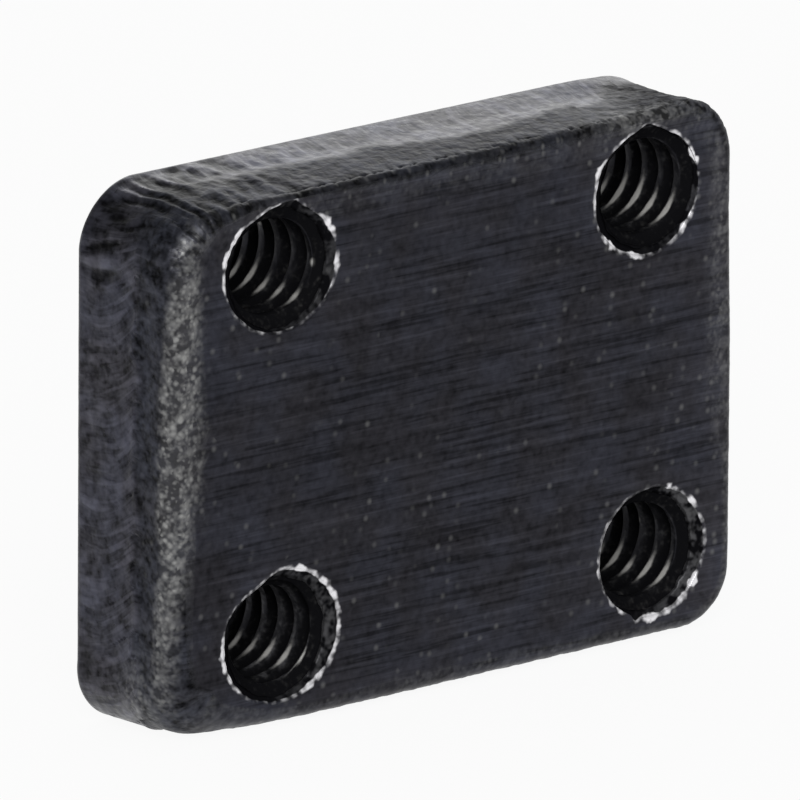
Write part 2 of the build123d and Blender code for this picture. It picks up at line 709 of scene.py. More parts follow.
@dataclass(frozen=True)
class PaleFloor:
    """A white floor that keeps a soft shadow, and shows as white to the camera, to gloss and through glass.

    Attributes:
        colour: the floor's own colour.
        share: how much of the plain white those rays see.
    """

    colour: Colour = (0.82, 0.82, 0.82, 1.0)
    share: float = 0.93

    def material(self) -> bpy.types.Material:
        """Build the floor's material."""
        made, recipe = new_material("pale_floor")
        rays = recipe.node("ShaderNodeLightPath").outputs
        seen = Value(recipe, rays["Is Camera Ray"]) + Value(recipe, rays["Is Glossy Ray"])
        seen = seen + Value(recipe, rays["Is Transmission Ray"])
        share = recipe.smaller(seen, 1.0) * self.share
        own = recipe.node("ShaderNodeBsdfDiffuse", {}, {"Color": self.colour})
        white = recipe.node("ShaderNodeEmission", {}, {"Color": WHITE, "Strength": 1.0})
        mixed = recipe.node("ShaderNodeMixShader", {}, {0: share, 1: own.outputs[0], 2: white.outputs[0]})
        recipe.node("ShaderNodeOutputMaterial", {}, {"Surface": mixed.outputs[0]})
        return made


# ----- The plate -----


class Side(Enum):
    """A side wall of the plate, by the way that it faces in the plane of the front face."""

    RIGHT = (1.0, 0.0)
    TOP = (0.0, 1.0)
    LEFT = (-1.0, 0.0)
    BOTTOM = (0.0, -1.0)


@dataclass(frozen=True)
class BySide:
    """A size that differs from wall to wall and changes smoothly round the corners."""

    right: float
    top: float
    left: float
    bottom: float

    def at(self, outward: Array) -> Array:
        """Blend the four sizes by the square of how far the wall faces each way.

        Args:
            outward: unit vectors in the plane of the face, on the last axis.

        Returns:
            The size at each of them.
        """
        sizes = {Side.RIGHT: self.right, Side.TOP: self.top, Side.LEFT: self.left, Side.BOTTOM: self.bottom}
        total = np.zeros(outward.shape[:-1])
        for side, size in sizes.items():
            total += size * np.clip(outward @ np.array(side.value), 0.0, None) ** 2
        return total


class Station(IntEnum):
    """Where a straight of the outline meets a corner, by its number from the outline's start."""

    TOP_START = 2
    TOP_END = 3
    LEFT_START = 4
    LEFT_END = 5
    BOTTOM_START = 6


@dataclass(frozen=True)
class Outline:
    """A rectangle with quarter-circle corners, walked from the middle of its right side, up and round.

    Attributes:
        width: along X.
        height: along Z.
        corner_radius: radius of the corners.
    """

    width: float
    height: float
    corner_radius: float

    @property
    def reach(self) -> Point:
        """Return how far the corner circles' middles are from the outline's middle, along X and Z."""
        return self.width / 2.0 - self.corner_radius, self.height / 2.0 - self.corner_radius

    @property
    def stations(self) -> tuple[Array, Array, Array]:
        """Return the lengths where straights and corners meet, with the circle's middle and angle there."""
        across, up = self.reach
        bend = self.corner_radius * math.pi / 2.0
        runs = [0.0, up, bend, 2.0 * across, bend, 2.0 * up, bend, 2.0 * across, bend, up]
        middles = [
            (across, 0.0), (across, up), (across, up), (-across, up), (-across, up),
            (-across, -up), (-across, -up), (across, -up), (across, -up), (across, 0.0),
        ]
        angles = np.array([0, 0, 1, 1, 2, 2, 3, 3, 4, 4]) * math.pi / 2.0
        return np.cumsum(runs), np.array(middles), angles

    @property
    def length(self) -> float:
        """Return the length of the whole outline."""
        return float(self.stations[0][-1])

    def walk(self, along: Array) -> tuple[Array, Array]:
        """Follow the outline: the circle's middle and angle run in straight lines between stations.

        Args:
            along: lengths from the start.

        Returns:
            The circle's middle and the outward unit vector at each.
        """
        lengths, middles, angles = self.stations
        along = np.mod(along, self.length)
        middle = joined(*(np.interp(along, lengths, middles[:, axis]) for axis in (0, 1)))
        angle = np.interp(along, lengths, angles)
        return middle, unit_vectors(angle)

    def point(self, along: Array, inset: Array) -> Array:
        """Return the points at those lengths, moved inwards by `inset`."""
        middle, outward = self.walk(along)
        return middle + (self.corner_radius - inset)[..., None] * outward

    def facing(self, places: Array) -> Array:
        """Return the unit vector towards each place's nearest side, which turns smoothly between sides."""
        gaps = np.array([self.width, self.height]) / 2.0 - np.abs(places)
        share = smooth_step(gaps[..., 1] - gaps[..., 0], -1.5, 1.5)
        return np.sign(places) * np.sqrt(joined(share, 1.0 - share))

    def depth(self, places: Array) -> Array:
        """Return how far inside the outline each place is."""
        beyond = np.abs(places) - np.array(self.reach)
        corner = np.linalg.norm(np.clip(beyond, 0.0, None), axis=-1)
        return self.corner_radius - corner - np.minimum(beyond.max(axis=-1), 0.0)


@dataclass(frozen=True)
class Stretch:
    """A stretch of a hole's mouth, fading to both sides along a bell curve.

    Attributes:
        clock: its middle, in degrees from the right, anticlockwise as seen from the front.
        spread: its half-width in degrees.
        strength: its amount in the middle: of a glint how brightly the rim is worn and painted as a highlight,
            where 1.6 is the most, and of a nick how far out the mouth lies, in millimetres.
    """

    clock: float
    spread: float
    strength: float

    def at(self, clock: Array) -> Array:
        """Return the amount at angles in radians."""
        apart = turned_from(clock, math.radians(self.clock))
        return self.strength * bell(apart, 0.0, math.radians(self.spread))


class Glint(Stretch):
    """A stretch of the rim that is worn bare and painted bright as a highlight."""


class Nick(Stretch):
    """A stretch where the mouth lies further out, or further in if its strength is below zero."""


@dataclass(frozen=True)
class HoleMouth:
    """The countersunk mouth of one tapped hole: an oval on the face that narrows to the thread.

    Attributes:
        half_width: the oval's half-width along X.
        half_height: the oval's half-height along Z.
        shift: the oval's middle from the hole's axis.
        glints: the bright stretches.
        seed: picks its raggedness.
        scraped_and_lit: how grey the countersink's right side is, scraped and painted as lit, from 0 to 1.
        raggedness: how far the mouth's edge wanders.
        nicks: where it is chipped or pinched.
        brightest: limit on the sum of the glints.
    """

    half_width: float
    half_height: float
    shift: Point
    glints: tuple[Glint, ...]
    seed: int
    scraped_and_lit: float = 0.0
    raggedness: float = 0.07
    nicks: tuple[Nick, ...] = ()
    brightest: float = 1.6

    def reach(self, clock: Array) -> Array:
        """Find the ragged oval along rays from the axis.

        The ray meets the oval where a quadratic in the distance is zero. The nicks and two grains round the
        ring are added.

        Args:
            clock: angles of the rays, in radians.

        Returns:
            The distance along each ray.
        """
        ray = unit_vectors(clock)
        halves = np.array([self.half_width, self.half_height])
        shift = np.array(self.shift) / halves
        scaled = ray / halves
        squared = np.sum(scaled * scaled, axis=-1)
        mixed = np.sum(scaled * shift, axis=-1)
        distance = (mixed + np.sqrt(mixed**2 - squared * (np.sum(shift * shift) - 1.0))) / squared
        for nick in self.nicks:
            distance = distance + nick.at(clock)
        x, z = ray[..., 0], ray[..., 1]
        coarse = grain_over(self.seed, 3, x * 2.1, z * 2.1, self.seed)
        fine = grain_over(self.seed + 9, 3, x * 9.0, z * 9.0, self.seed)
        return distance + self.raggedness * (0.9 * coarse + 0.45 * fine)

    def gain(self, clock: Array) -> Array:
        """Return the rim's worn and painted brightness at angles in radians: the sum of its glints' bell
        curves.
        """
        return np.clip(sum(glint.at(clock) for glint in self.glints), 0.0, self.brightest)


class WallMarks:
    """The shear marks on the walls, at points whose lengths along the outline and depths are given.

    From the back: a polished land with lines that sag across it, a scalloped lip, and a torn, rougher band
    that runs to the front edge and lies a little deeper. The marks only go inwards.
    """

    def __init__(self, plate: "Plate", along: Array, y: Array, outward: Array, places: Array) -> None:
        """Work out what the marks share.

        Args:
            plate: the plate.
            along: length along the outline.
            y: depth in the plate, from the front face's minus to the back face's plus half thickness.
            outward: the wall's unit vector in the plane of the face.
            places: the points themselves.
        """
        self.plate, self.along, self.outward, self.places = plate, along, outward, places
        lengths = plate.outline.stations[0]
        self.top_start, self.top_end = lengths[Station.TOP_START], lengths[Station.TOP_END]
        self.left_end = lengths[Station.LEFT_END]
        self.back = plate.thickness / 2.0 - y
        self.top = unit(outward[..., 1]) ** 2
        self.left = unit(-outward[..., 0]) ** 2
        self.rightwards = self.top * places[..., 0] / (0.5 * plate.outline.width)
        self.damage = bell(along, self.top_start + 0.8, 3.8)
        self.rough = grain_over(Seed.ROUGH, 4, along / 0.62, self.back / 0.8)
        self.ragged = grain_over(Seed.RAGGED, 3, along / 0.3, self.back / 0.55)
        self.across = unit(self.back / plate.land_width.at(outward))
        bend = plate.hook.at(outward) * self.across**3 - plate.lean.at(outward) * self.back
        self.slanted = along + bend + 0.22 * grain_over(Seed.STROKES, 1, along / 2.4, self.back / 1.9)
        self.lined = 1.6 * grain_over(Seed.LINES, 1, self.slanted / 0.55, self.back / 3.4)
        self.lined = self.lined * (1.0 - 0.4 * self.top)
        self.swell = 0.02 * grain_over(Seed.LAND_SWELL, 2, along / 1.3, self.back / 1.5)
        self.gap, spot, self.own = Lobes(1.75, 0.8, Seed.LOBES).read(self.slanted)
        self.lip = self.find_lip(spot)
        self.torn = smooth_step(self.back, self.lip - 0.05, self.lip + plate.lip_softness.at(outward))
        self.teeth_gap, _, self.tooth = Lobes(0.62, 0.8, Seed.TEETH).read(along + 0.16 * self.rough)
        self.rumple = self.find_rumple()
        self.crumple = self.find_crumple()
        self.edge = self.find_edge()

    def find_lip(self, spot: Array) -> Array:
        """Return the lip's distance from the back face: scallops between the lobes' borders."""
        top, along = self.top, self.along
        scallop = (0.34 - 0.2 * top) * np.sqrt(unit(1.0 - spot**2))
        lip = self.plate.land_width.at(self.outward) + scallop + 0.3 * self.own - 0.17
        lip = lip + 0.1 * grain_over(Seed.LIP, 3, along / 0.35, 0.0)
        lip = lip + 0.5 * top * grain_over(Seed.LIP_SWELL, 1, along / 3.1, 0.0)
        lip = lip - 2.6 * bell(along, self.top_start - 0.5, 3.2)
        return lip - 1.1 * top * smooth_step(-self.places[..., 0], -1.5, 8.0)

    def find_rumple(self) -> Array:
        """Return how battered the wall is, which it is round the upper left corner."""
        rumple = bell(self.along, self.top_end + 1.0, 8.0) * smooth_step(self.back, 0.2, 0.9)
        lowered = 1.2 * self.left * smooth_step(self.back, 3.5, 5.5)
        return rumple * smooth_step(self.places[..., 2] - lowered, 7.5, 10.0)

    def find_crumple(self) -> Array:
        """Return the folds of the battered stretch: a grain along the strokes, less another's ridges."""
        fold = grain_over(Seed.FOLDS, 1, self.slanted / 0.5 + 0.5 * self.back, self.back / 2.4)
        crease = 1.0 - 2.0 * np.abs(grain_over(Seed.FOLD_RIDGES, 1, self.slanted / 0.9, self.back / 2.0))
        return self.rumple * np.clip(1.1 * fold - 0.5 * crease + 0.3, -0.7, 1.0)

    def find_edge(self) -> Array:
        """Return the band of worn grains along the front edge, which is widest on the left side."""
        left, height, plate = self.left, self.places[..., 2], self.plate
        reached = plate.thickness - 1.0 + left * 0.75 * smooth_step(height, 1.0, 12.5)
        reached = reached - 0.6 * left * smooth_step(-height, 4.0, 12.0)
        edge = smooth_step(self.back + 0.3 * self.rough, reached - 0.35, reached + 0.35)
        edge = edge * plate.sparkling(left * (self.places[..., 0] + 0.5 * plate.outline.width), height)
        edge = edge * (1.0 - 0.4 * left * smooth_step(-height, 3.0, 11.0))
        return edge * (1.0 - 0.15 * bell(height, 11.5, 1.5))

    def land_depth(self) -> Array:
        """Return the land's depth: lines, creases where a grain crosses zero, and a groove between lobes."""
        creased = np.abs(grain_over(Seed.CREASES, 1, self.slanted / 0.9, self.back / 2.9))
        creased = smooth_step(creased, 0.16, 0.0)
        groove = bell(self.gap, 0.0, 0.09) * (0.35 + 0.65 * smooth_step(self.own, -0.4, 0.4))
        groove = groove * smooth_step(self.across, 0.15, 0.7) * self.plate.groove_depth.at(self.outward)
        from_back = smooth_step(self.back, 0.1, 1.1)
        fine = 0.012 * self.lined + 0.036 * creased * (1.0 - 0.7 * self.top)
        return 0.05 + fine * (0.25 + 0.75 * from_back) + groove + self.swell * from_back

    def torn_depth(self) -> Array:
        """Return the torn band's depth, which grows from the lip to the front edge and is rough."""
        top, lip = self.top, self.lip
        inset = self.plate.front_inset.at(self.outward) * (1.0 - 0.75 * self.rightwards)
        inset = inset * (1.0 - 0.95 * bell(self.along, self.top_start, 3.2))
        past = unit((self.back - lip) / (self.plate.thickness - lip))
        slope = top * past**1.25 + (1.0 - top) * (0.55 + 0.45 * smooth_step(past, 0.0, 1.0))
        depth = inset * slope + 0.05 * (bell(self.back, lip + 0.55, 0.75) * (1.0 - top))
        depth = depth + (0.045 - 0.02 * top) * self.rough + (0.02 - 0.010 * top) * self.ragged
        return depth + (0.008 * self.lined + self.swell) * top

    def depth(self) -> Array:
        """Return how far the wall lies below its smooth form."""
        back, top, torn, plate = self.back, self.top, self.torn, self.plate
        sag = top * (0.092 * unit(back / 2.6) ** 1.6 - 0.045 * smooth_step(back, 2.5, 4.0))
        sag = sag * (1.0 - 0.3 * self.rightwards)
        ridge = bell(back, self.lip - 0.12, 0.16 + 0.2 * top) * (1.0 + 0.8 * top * self.own)
        folded = 0.12 * self.crumple + 0.055 * self.rumple
        depth = self.land_depth() * (1.0 - torn) + self.torn_depth() * torn + sag + folded
        depth = depth - 0.028 * ridge * (1.0 - top)
        hollow = smooth_step(back, 0.3, 2.8) - 0.9 * smooth_step(back, 3.6, plate.thickness)
        battered = plate.worn_corner * hollow + 0.07 * torn * self.rough + 0.03 * torn * self.ragged
        depth = depth + self.damage * battered
        lost = plate.worn_back * bell(self.along, self.top_start - 0.3, 1.4)
        depth = depth + lost * smooth_step(back, 3.2, 0.0)
        depth = depth + self.rumple * (0.045 * self.rough + 0.025 * self.ragged)
        cut = bell(self.teeth_gap, 0.0, 0.11) * smooth_step(self.tooth, -0.5, 0.5)
        along_top = 0.03 + 0.1 * top * plate.seamed(self.places[..., 0])
        depth = depth + cut * bell(back, plate.thickness - 0.35, 0.3) * along_top
        bumps = layered_grain(self.places / 0.34, Seed.BUMPS, 2)
        return np.clip(depth + 0.03 * bumps * self.edge, 0.0, None)

    def facts(self) -> dict[str, Array]:
        """Return the facts that the walls' finish reads."""
        back, top, torn, thickness = self.back, self.top, self.torn, self.plate.thickness
        half_length = self.plate.outline.length / 2.0
        end = half_length + self.plate.split[1]
        chips = 0.55 * bell(self.along, self.left_end + 1.6, 2.2) * bell(back, thickness - 2.6, 1.3)
        crushed = 0.8 * bell(self.along, self.top_start + 3.8, 2.4)
        crushed = crushed * smooth_step(back, thickness - 1.9, thickness - 0.6)
        worn = self.edge * self.plate.edge_wear.at(self.outward)
        worn = np.maximum(worn, np.maximum(0.3 * self.damage * torn, chips)) + crushed
        uneven = back + 0.1 * self.rough + 0.08 * self.tooth
        seam = top * smooth_step(uneven, thickness - 0.26, thickness - 0.08)
        seam = seam * self.plate.seamed(self.places[..., 0]) * (1.0 - 0.9 * self.damage)
        near_front = self.left * smooth_step(back, thickness - 3.6, thickness - 2.2)
        lower_back = smooth_step(back - 0.9 * (self.along - self.top_start), 1.6, 4.0)
        pitted = 0.5 * self.damage * torn * unit(0.6 + self.rough)
        return {
            "land": (1.0 - torn) * smooth_step(back, 0.1, 0.5),
            "torn": torn * (1.0 - self.edge * (1.0 - top)),
            "rumple": self.crumple * (1.0 - 0.8 * near_front) + pitted,
            "damage": self.damage * torn * lower_back,
            "seam": unit(1.2 * seam),
            "drips": top * smooth_step(back, thickness - 0.4, thickness),
            "edge": worn,
            "wear": 0.1 + 0.9 * worn,
            "sweep": self.slanted,
            "back": back,
            "lines": smooth_step(np.abs(self.along - half_length), end, end - 0.6),
        }


@dataclass(frozen=True)
class Rays:
    """Rays in the plane of a face, from a hole's axis to the border of the quarter round it.

    Attributes:
        axis: the hole's axis.
        border: the border's points.
        mouth: the hole's mouth on that face.
        least_face: the least that is left of the face between the mouth and the border, in millimetres.
    """

    axis: Array
    border: Array
    mouth: HoleMouth
    least_face: float = 0.05

    @property
    def clock(self) -> Array:
        """Return the angle of each ray."""
        return np.arctan2(self.border[:, 1] - self.axis[1], self.border[:, 0] - self.axis[0])

    @property
    def way(self) -> Array:
        """Return the unit vector of each ray."""
        return unit_vectors(self.clock)

    @property
    def total(self) -> Array:
        """Return the distance to the border along each ray."""
        return np.linalg.norm(self.border - self.axis, axis=-1)

    @property
    def reach(self) -> Array:
        """Return the distance to the mouth's rim along each ray."""
        return np.minimum(self.mouth.reach(self.clock), self.total - self.least_face)

    def at(self, distance: Array) -> Array:
        """Return the points at those distances."""
        return self.axis + self.way * distance[..., None]


@dataclass(frozen=True)
class Plate:
    """The blanked and ground plate: its shape, its shear marks and its holes' mouths, in millimetres.

    Attributes:
        outline: its outline.
        thickness: along Y.
        middle_height: height of its middle above the floor.
        hole_middles: the holes' axes from its middle.
        split: where the lines between the four quarters cross, from its middle.
        mouths: the holes' mouths on the front face.
        back_mouths: the holes' mouths on the back face.
        front_round: radius of the front edge on the four sides.
        back_round: radius of the back edge.
        land_width: how far the land reaches from the back face.
        front_inset: how far the torn band lies below the land at the front.
        edge_wear: how bare the front edge's grains are.
        lip_softness: how softly the land turns into the torn band.
        hook: how far the strokes bend along the outline towards the lip.
        lean: how far they lean for each millimetre.
        groove_depth: depth of the grooves in the land.
        blunt_corner: what the lower left corner adds to the front edge's radius.
        soft_corner: what the upper left corner adds to it.
        full_corner: how much fuller the lower left corner is at the back.
        sparse_corner: how much the upper left corner is worn down.
        narrow_top: how far the right side comes in towards the top.
        worn_corner: how hollow the battered upper right corner is.
        worn_back: how much of it is lost at the back edge.
        throat_radius: radius of a hole where its thread begins.
        throat_depth: how deep that is below a face.
        tunnel_radius: radius of the hidden hole that a thread's sleeve covers.
        wall_columns: points round the outline.
        split_rows: points on a split line from one side and from the other.
        round_rows: rows over the front round.
        flat_rows: rows on the straight wall, with its two ends.
        back_rows: rows over the back round.
        face_rows: rows of the front face and of the back face.
        front_fall: rows of a front mouth, as shares of the throat's depth.
        back_fall: rows of a back mouth.
        weld: side of the cubes in which points become one.
    """

    outline: Outline
    thickness: float
    middle_height: float
    hole_middles: tuple[Point, ...]
    split: Point
    mouths: tuple[HoleMouth, ...]
    back_mouths: tuple[HoleMouth, ...]
    front_round: BySide = BySide(right=0.85, top=0.6, left=1.15, bottom=1.0)
    back_round: float = 0.4
    land_width: BySide = BySide(right=4.2, top=3.9, left=4.7, bottom=3.9)
    front_inset: BySide = BySide(right=0.28, top=0.27, left=0.18, bottom=0.25)
    edge_wear: BySide = BySide(right=0.32, top=0.08, left=1.0, bottom=0.14)
    lip_softness: BySide = BySide(right=0.25, top=0.9, left=0.22, bottom=0.25)
    hook: BySide = BySide(right=1.2, top=0.3, left=1.5, bottom=1.2)
    lean: BySide = BySide(right=0.0, top=0.3, left=0.0, bottom=0.0)
    groove_depth: BySide = BySide(right=0.06, top=0.02, left=0.075, bottom=0.06)
    blunt_corner: float = 1.5
    full_corner: float = 0.22
    sparse_corner: float = 0.16
    narrow_top: float = 0.17
    worn_corner: float = 0.26
    worn_back: float = 0.15
    soft_corner: float = 0.7
    throat_radius: float = THROAT_RADIUS
    throat_depth: float = THROAT_DEPTH
    tunnel_radius: float = 3.27
    wall_columns: int = 960
    split_rows: tuple[int, int] = (50, 64)
    round_rows: int = 14
    flat_rows: int = 32
    back_rows: int = 8
    face_rows: tuple[int, int] = (11, 7)
    front_fall: tuple[float, ...] = (0.0, 0.03, 0.08, 0.16, 0.28, 0.45, 0.7, 1.0)
    back_fall: tuple[float, ...] = (0.0, 0.15, 0.5, 1.0)
    weld: float = 1e-3

    # ----- relief -----

    def rounding(self, along: Array) -> Array:
        """Return the radius of the front edge: it follows the sides and is blunter at both left corners."""
        _, outward = self.outline.walk(along)
        lengths, half = self.outline.stations[0], self.outline.length / 2.0
        middle = (lengths[Station.LEFT_END] + lengths[Station.BOTTOM_START]) / 2.0
        apart = np.mod(along - middle + half, self.outline.length) - half
        reach = np.where(apart > 0.0, 4.6, 2.6)
        soft = self.soft_corner * bell(along, lengths[Station.TOP_END] + 1.4, 3.0)
        return self.front_round.at(outward) + self.blunt_corner * bell(apart, 0.0, reach) + soft

    def sparkling(self, gap: Array, height: Array) -> Array:
        """Return 1 where the front edge's worn grains reach, and 0 further in.

        Args:
            gap: distance from the edge.
            height: height above the plate's middle, since the band is narrower low down.

        Returns:
            Numbers from 0 to 1.
        """
        limit = 1.9 - 1.3 * smooth_step(-height, -1.0, 9.0)
        return smooth_step(gap, limit + 0.5, limit - 0.4)

    def seamed(self, x: Array) -> Array:
        """Return 1 where the dark seam runs along the top edge, and 0 at its left end."""
        return smooth_step(x, -12.0, -8.0)

    def trim(self, along: Array, share: Array) -> Array:
        """Return how far the worn outline lies inside the true one.

        The upper left corner is worn down a little, the lower left one is fuller at the back, and the right
        side comes in towards the top. On a corner the amount follows the sine of twice its angle.

        Args:
            along: lengths along the outline.
            share: 0 at the back face, 1 at the front face.

        Returns:
            Lengths in millimetres, below zero where the corner is fuller.
        """
        _, outward = self.outline.walk(along)
        height = self.outline.point(along, 0.0 * along)[..., 1]
        across, up = outward[..., 0], outward[..., 1]
        both = 2.0 * np.abs(across * up)
        upper_left = both * (across < 0.0) * (up > 0.0)
        lower_left = both * (across < 0.0) * (up < 0.0)
        right = np.clip(across, 0.0, 1.0) ** 2
        inward = self.sparse_corner * upper_left - self.full_corner * lower_left * (1.0 - share)
        return inward + self.narrow_top * right * smooth_step(height, 0.0, 9.0)

    def ground(self, places: Array) -> Array:
        """Return how far a ground face lies below its plane: faint waves from grinding."""
        return 0.006 + 0.004 * grain_over(Seed.GRINDING, 1, places[..., 0] / 9.0, places[..., 2] / 0.7)

    # ----- patches -----

    def plain_facts(self, shape: tuple[int, ...]) -> dict[str, Array]:
        """Return every fact at nothing, and the rim far away."""
        return {name: np.zeros(shape) for name in PLATE_FACTS} | {"rim": np.full(shape, FAR_FROM_RIM)}

    def split_lengths(self) -> Array:
        """Return where the lines between the holes meet the outline, as lengths: right, top, left, bottom."""
        across, up = self.outline.reach
        starts = [Station.TOP_START, Station.LEFT_START, Station.BOTTOM_START]
        top, left, bottom = self.outline.stations[0][starts]
        x, z = self.split
        return np.array([z, top + across - x, left + up - z, bottom + across + x])

    def columns(self) -> Array:
        """Return the lengths of the wall's columns, even within each quarter, from the right split."""
        ends = np.append(self.split_lengths(), self.outline.length + self.split[1])
        each = self.wall_columns // 4
        share = np.arange(each) / each
        return np.concatenate([a + (b - a) * share for a, b in zip(ends[:-1], ends[1:])])

    def wall(self) -> Patch:
        """Build the band of the walls with the rounds at both faces.

        A profile runs from the front face over a quarter circle, straight back and over a second quarter
        circle, and is carried along the outline. Each point then moves against the profile's normal by the
        depth of the marks.
        """
        along = self.columns()
        half = self.thickness / 2.0
        front = self.rounding(along)[None]
        turn = np.linspace(0.0, math.pi / 2.0, self.round_rows)[:, None]
        flat = np.linspace(0.0, 1.0, self.flat_rows)[1:-1, None]
        back_turn = np.linspace(0.0, math.pi / 2.0, self.back_rows)[:, None] + 0.0 * front
        flat_y = (front - half) * (1.0 - flat) + (half - self.back_round) * flat
        back_y = half - self.back_round * (1.0 - np.sin(back_turn))
        y = np.concatenate([-half + front * (1.0 - np.cos(turn)), flat_y, back_y])
        back_inset = self.back_round * (1.0 - np.cos(back_turn))
        inset = np.concatenate([front * (1.0 - np.sin(turn)), 0.0 * flat_y, back_inset])
        tilt = np.concatenate([turn - math.pi / 2.0 + 0.0 * front, 0.0 * flat_y, back_turn])
        along = np.broadcast_to(along, y.shape)
        place = self.outline.point(along, inset + self.trim(along, 0.5 - y / self.thickness))
        _, outward = self.outline.walk(along)
        on_wall = np.cos(tilt)
        normal = joined(outward[..., 0] * on_wall, np.sin(tilt), outward[..., 1] * on_wall)
        points = joined(place[..., 0], y, place[..., 1])
        marks = WallMarks(self, along, y, outward, points)
        depth = marks.depth() * on_wall**1.6 + self.ground(points) * (1.0 - on_wall)
        points = points - normal * depth[..., None]
        points[..., 2] += self.middle_height
        facts = self.plain_facts(y.shape) | marks.facts() | {"face": smooth_step(on_wall, 0.45, 0.1)}
        return Patch(points, facts, flipped=True)

    def border(self, number: int, front: bool) -> Array:
        """List the points of a quarter's border: along the plate's edge, and back along the two split lines.

        Args:
            number: the quarter, as in quarter().
            front: the front face, or else the back one.

        Returns:
            Points x 2, as many on both faces.
        """
        along = self.columns()
        each = self.wall_columns // 4
        run = np.append(along, along[0] + self.outline.length)[number * each : (number + 1) * each + 1]
        inset = self.rounding(run) if front else np.full(run.shape, self.back_round)
        edge = self.outline.point(run, inset + self.trim(run, np.full(run.shape, 1.0 if front else 0.0)))
        split = np.array(self.split)
        after, before = self.split_rows if number % 2 == 0 else self.split_rows[::-1]
        inward = edge[-1] + (split - edge[-1]) * np.linspace(0.0, 1.0, after)[1:, None]
        outwards = split + (edge[0] - split) * np.linspace(0.0, 1.0, before)[1:-1, None]
        return np.concatenate([edge, inward, outwards])

    def quarter(self, number: int, front: bool) -> list[Patch]:
        """Build what belongs to one hole: the face out to the split lines, the mouth and half the tunnel.

        Args:
            number: 0 for the upper right quarter, then anticlockwise as seen from the front.
            front: the front face, or else the back one.

        Returns:
            The face's patch and the patch of the mouth and the tunnel.
        """
        mouth = (self.mouths if front else self.back_mouths)[number]
        rays = Rays(np.array(self.hole_middles[number]), self.border(number, front), mouth)
        face, dip = self.face(rays, front)
        return [face, self.mouth_and_tunnel(number, rays, dip, front)]

    def face(self, rays: Rays, front: bool) -> tuple[Patch, Array]:
        """Build a quarter of a face: rows from the ragged oval to the border, closer together near the oval.

        The face falls towards the mouth as exp(-distance / 0.16).

        Args:
            rays: from the hole to the border.
            front: the front face, or else the back one.

        Returns:
            The patch, and how far the mouth's rim lies below the face.
        """
        row = np.linspace(0.0, 1.0, self.face_rows[0 if front else 1])[:, None]
        share = np.where(row > 0.9, 1.0, 0.18 * row + 0.82 * row**2.2)
        distance = rays.reach + (rays.total - rays.reach) * share
        flat = rays.at(distance)
        rim = -(distance - rays.reach)
        way = -1.0 if front else 1.0
        points = joined(flat[..., 0], way * (self.thickness / 2.0), flat[..., 1])
        dip = self.ground(points) + 0.05 * np.exp(-np.abs(rim) / 0.16)
        dip[-1] = self.ground(points[-1])
        points[..., 1] -= way * dip
        points[..., 2] += self.middle_height
        facts = self.plain_facts(rim.shape) | {"rim": rim, "gain": rays.mouth.gain(rays.clock) + 0.0 * rim}
        facts |= self.front_facts(flat) if front else {}
        worn, scuffed = self.face_wear(flat, rim, front)
        return Patch(points, facts | worn | {"face": 1.0 - scuffed}, flipped=front), dip[0]

    def front_facts(self, flat: Array) -> dict[str, Array]:
        """Work out the worn grains, the flecks and the seam along the front face's edge.

        Args:
            flat: points in the plane of the face.

        Returns:
            The facts edge, drips and seam.
        """
        x, z = flat[..., 0], flat[..., 1]
        within = self.outline.depth(flat)
        facing = self.outline.facing(flat)
        left = unit(-facing[..., 0]) ** 2
        top = unit(facing[..., 1]) ** 2
        gap = within * (1.0 - left) + (x + self.outline.width / 2.0) * left
        jagged = 0.84 + 0.45 * grain_over(Seed.SEAM, 2, x / 0.3, 0.0)
        crushed = top * bell(x, 11.8, 2.4) * smooth_step(within, 1.3, 0.5)
        seam = smooth_step(within, jagged + 0.12, jagged - 0.12) * top * self.seamed(x)
        return {
            "edge": np.maximum(self.sparkling(gap, z) * self.edge_wear.at(facing), 0.8 * crushed),
            "drips": smooth_step(within, 1.4, 0.8) * top,
            "seam": seam * (1.0 - unit(1.3 * crushed)),
        }

    def face_wear(self, flat: Array, rim: Array, front: bool) -> tuple[dict[str, Array], Array]:
        """Work out how worn a face is: most at its edges, its right side, the rims and the upper left corner.

        Args:
            flat: points in the plane of the face.
            rim: the fact rim.
            front: the front face, or else the back one.

        Returns:
            The fact wear, and how much the grinding lines are scuffed away.
        """
        half_width = self.outline.width / 2.0
        near_edge = np.exp(-np.clip(self.outline.depth(flat) - 1.0, 0.0, None) / 0.9)
        near_right = np.exp((flat[..., 0] - half_width + 1.0) / 2.6)
        near_left = np.exp(-(flat[..., 0] + half_width - 1.0) / 2.2)
        wear = np.clip(0.26 + 0.6 * near_edge + 0.9 * near_right + 0.3 * np.exp(rim / 0.8), 0.0, 1.4)
        upper_left = np.array([-self.outline.width, self.outline.height]) / 2.0 + np.array([2.6, -2.2])
        corner = bell(np.linalg.norm(flat - upper_left, axis=-1), 0.0, 3.0) if front else 0.0 * rim
        wear = (wear + 0.6 * corner) * (1.0 if front else 0.2)
        return {"wear": wear}, np.maximum(0.8 * corner, 0.55 * unit(near_left))

